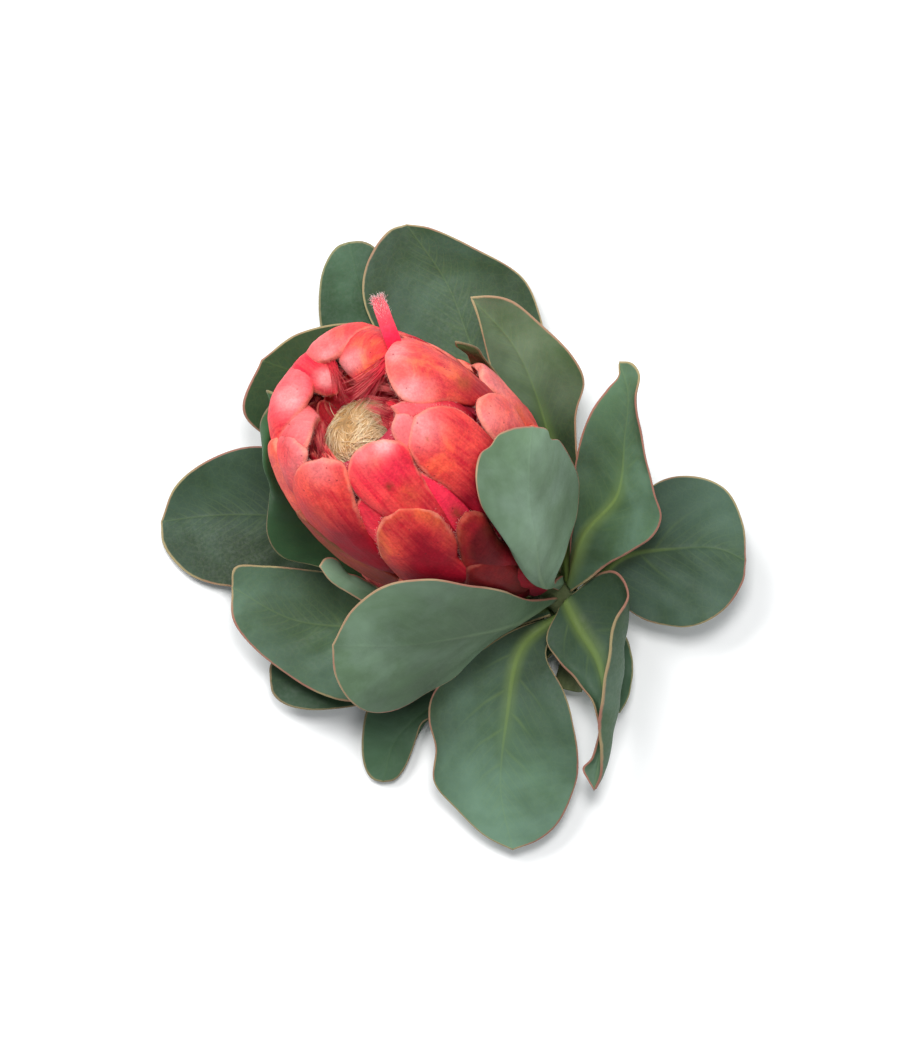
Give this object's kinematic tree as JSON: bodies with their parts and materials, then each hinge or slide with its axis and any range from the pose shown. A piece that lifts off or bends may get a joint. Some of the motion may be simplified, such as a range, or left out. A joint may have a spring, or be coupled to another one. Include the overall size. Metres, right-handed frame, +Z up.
{
  "type": "protea flower",
  "caption": "Cut protea lying on a surface: a coral head of overlapping bracts round cream woolly florets, among broad leathery leaves on a short stem.",
  "frame": {"origin": "on the surface that the flower lies on, under the middle of its outline", "axes": "+Z up from the surface, +Y towards the leaf beyond the head, +X to the right of the head; the head opens up and towards -X +Y"},
  "size_m": [0.1962, 0.21, 0.1139],
  "materials": {
    "stem": "matte",
    "leaf": "satin",
    "leaf_pale": "matte",
    "bract": "matte",
    "floret": "matte"
  },
  "bodies": {
    "root": {"stem": "stem", "leaf_top": "leaf", "leaf_top_left": "leaf", "leaf_upper_left": "leaf", "leaf_left_cup": "leaf", "leaf_left": "leaf", "leaf_lower_left": "leaf", "leaf_front_lower": "leaf_pale", "leaf_small_front": "leaf_pale", "leaf_lower_dark": "leaf", "leaf_lower_left_back": "leaf", "leaf_bottom": "leaf", "leaf_lower_right": "leaf", "leaf_dark_lower_right": "leaf", "leaf_right": "leaf", "leaf_upper_right": "leaf", "leaf_upper_middle": "leaf", "leaf_front_right": "leaf_pale", "leaf_behind_small": "leaf", "bloom_bracts": "bract", "florets": "floret"}
  },
  "joints": []
}
